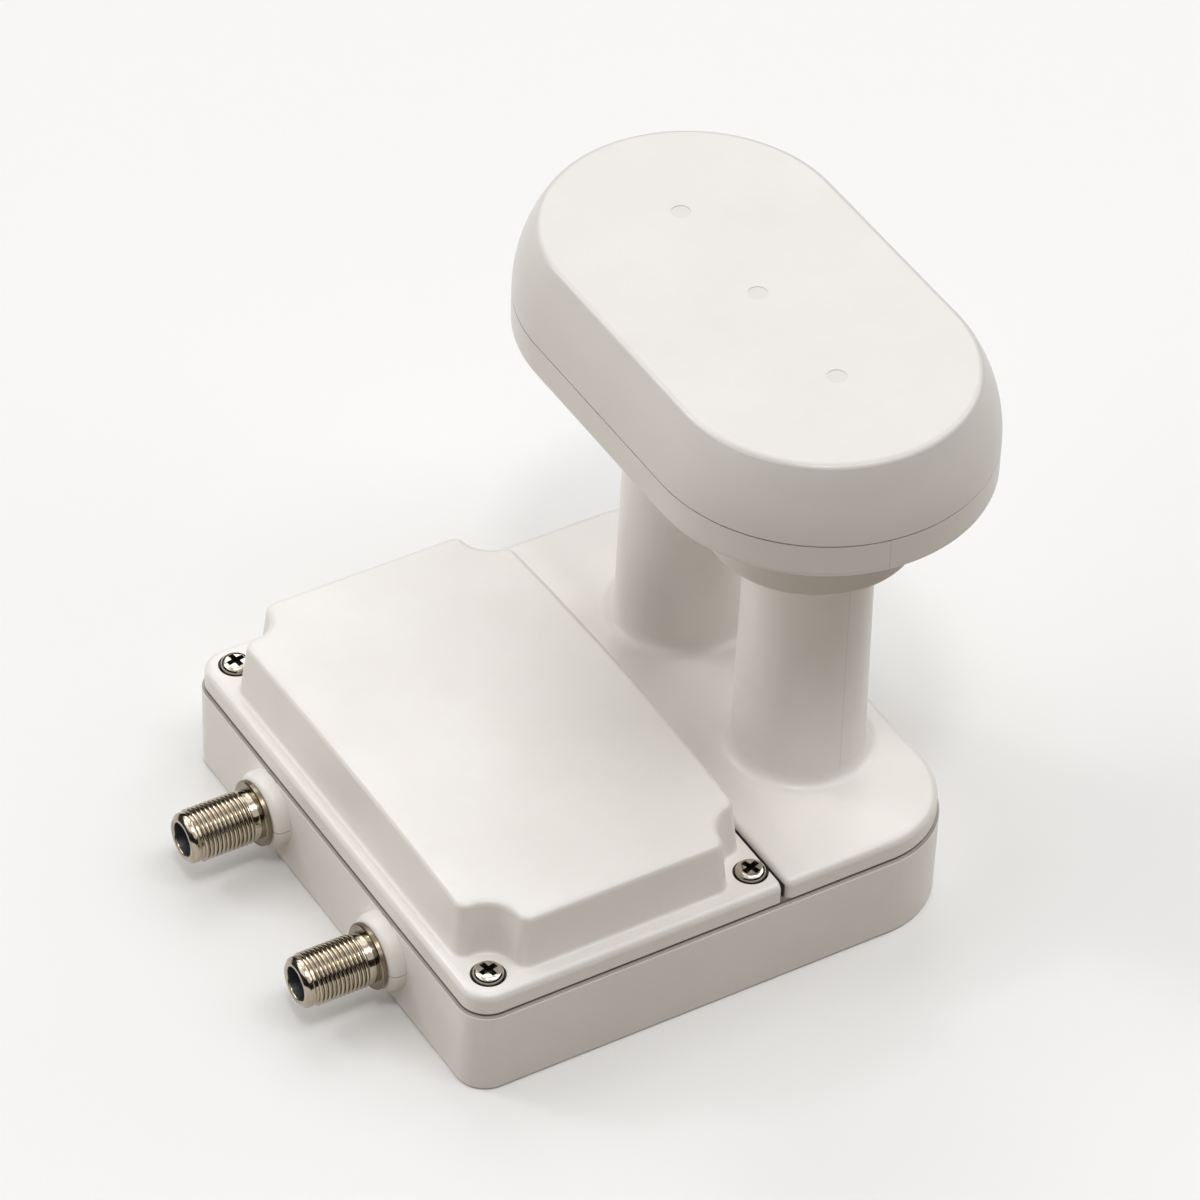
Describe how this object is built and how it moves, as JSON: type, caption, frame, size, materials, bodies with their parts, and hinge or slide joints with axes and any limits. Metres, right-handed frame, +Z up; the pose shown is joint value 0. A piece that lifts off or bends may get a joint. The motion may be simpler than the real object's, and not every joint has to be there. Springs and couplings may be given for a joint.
{
  "type": "satellite lnb",
  "caption": "Twin-feed satellite low-noise block: rounded housing with two coaxial ports, and two round necks up to an oval radome cap.",
  "frame": {"origin": "centre of the housing's underside", "axes": "+Z up along the necks, +X from the coaxial ports towards the necks, +Y from the near neck to the far one"},
  "size_m": [0.1269, 0.1002, 0.1048],
  "materials": {
    "housing": "fine matt grain",
    "cap": "satin",
    "connector": "bright nickel plate",
    "screw": "bright",
    "seal": "matt",
    "casting": "as cast",
    "board": "solder mask",
    "sheet": "tinned",
    "component": "moulded package",
    "insulator": "dark resin",
    "contact": "plated"
  },
  "bodies": {
    "root": {"base_tub": "housing", "rim_seal": "seal", "front_lid": "housing", "lid_screws": "screw", "rear_cover": "housing", "lap_seal": "seal", "cover_screws": "screw", "chassis": "casting", "circuit_board": "board", "waveguide_block": "casting", "block_screws": "screw", "shield_can": "sheet", "lna_transistors": "component", "converter_chips": "component", "switch_chip": "component", "regulators": "component", "capacitors": "component", "crystals": "sheet", "inductors": "component", "horn_collar_near": "housing", "horn_collar_far": "housing", "feed_horn_near": "casting", "feed_horn_far": "casting", "cap_tray": "cap", "cap_seal": "seal", "cap_dome": "cap", "f_connector_near": "connector", "f_connector_far": "connector", "connector_washer_near": "connector", "connector_washer_far": "connector", "connector_insulator_near": "insulator", "connector_insulator_far": "insulator", "connector_contact_near": "contact", "connector_contact_far": "contact"}
  },
  "joints": []
}
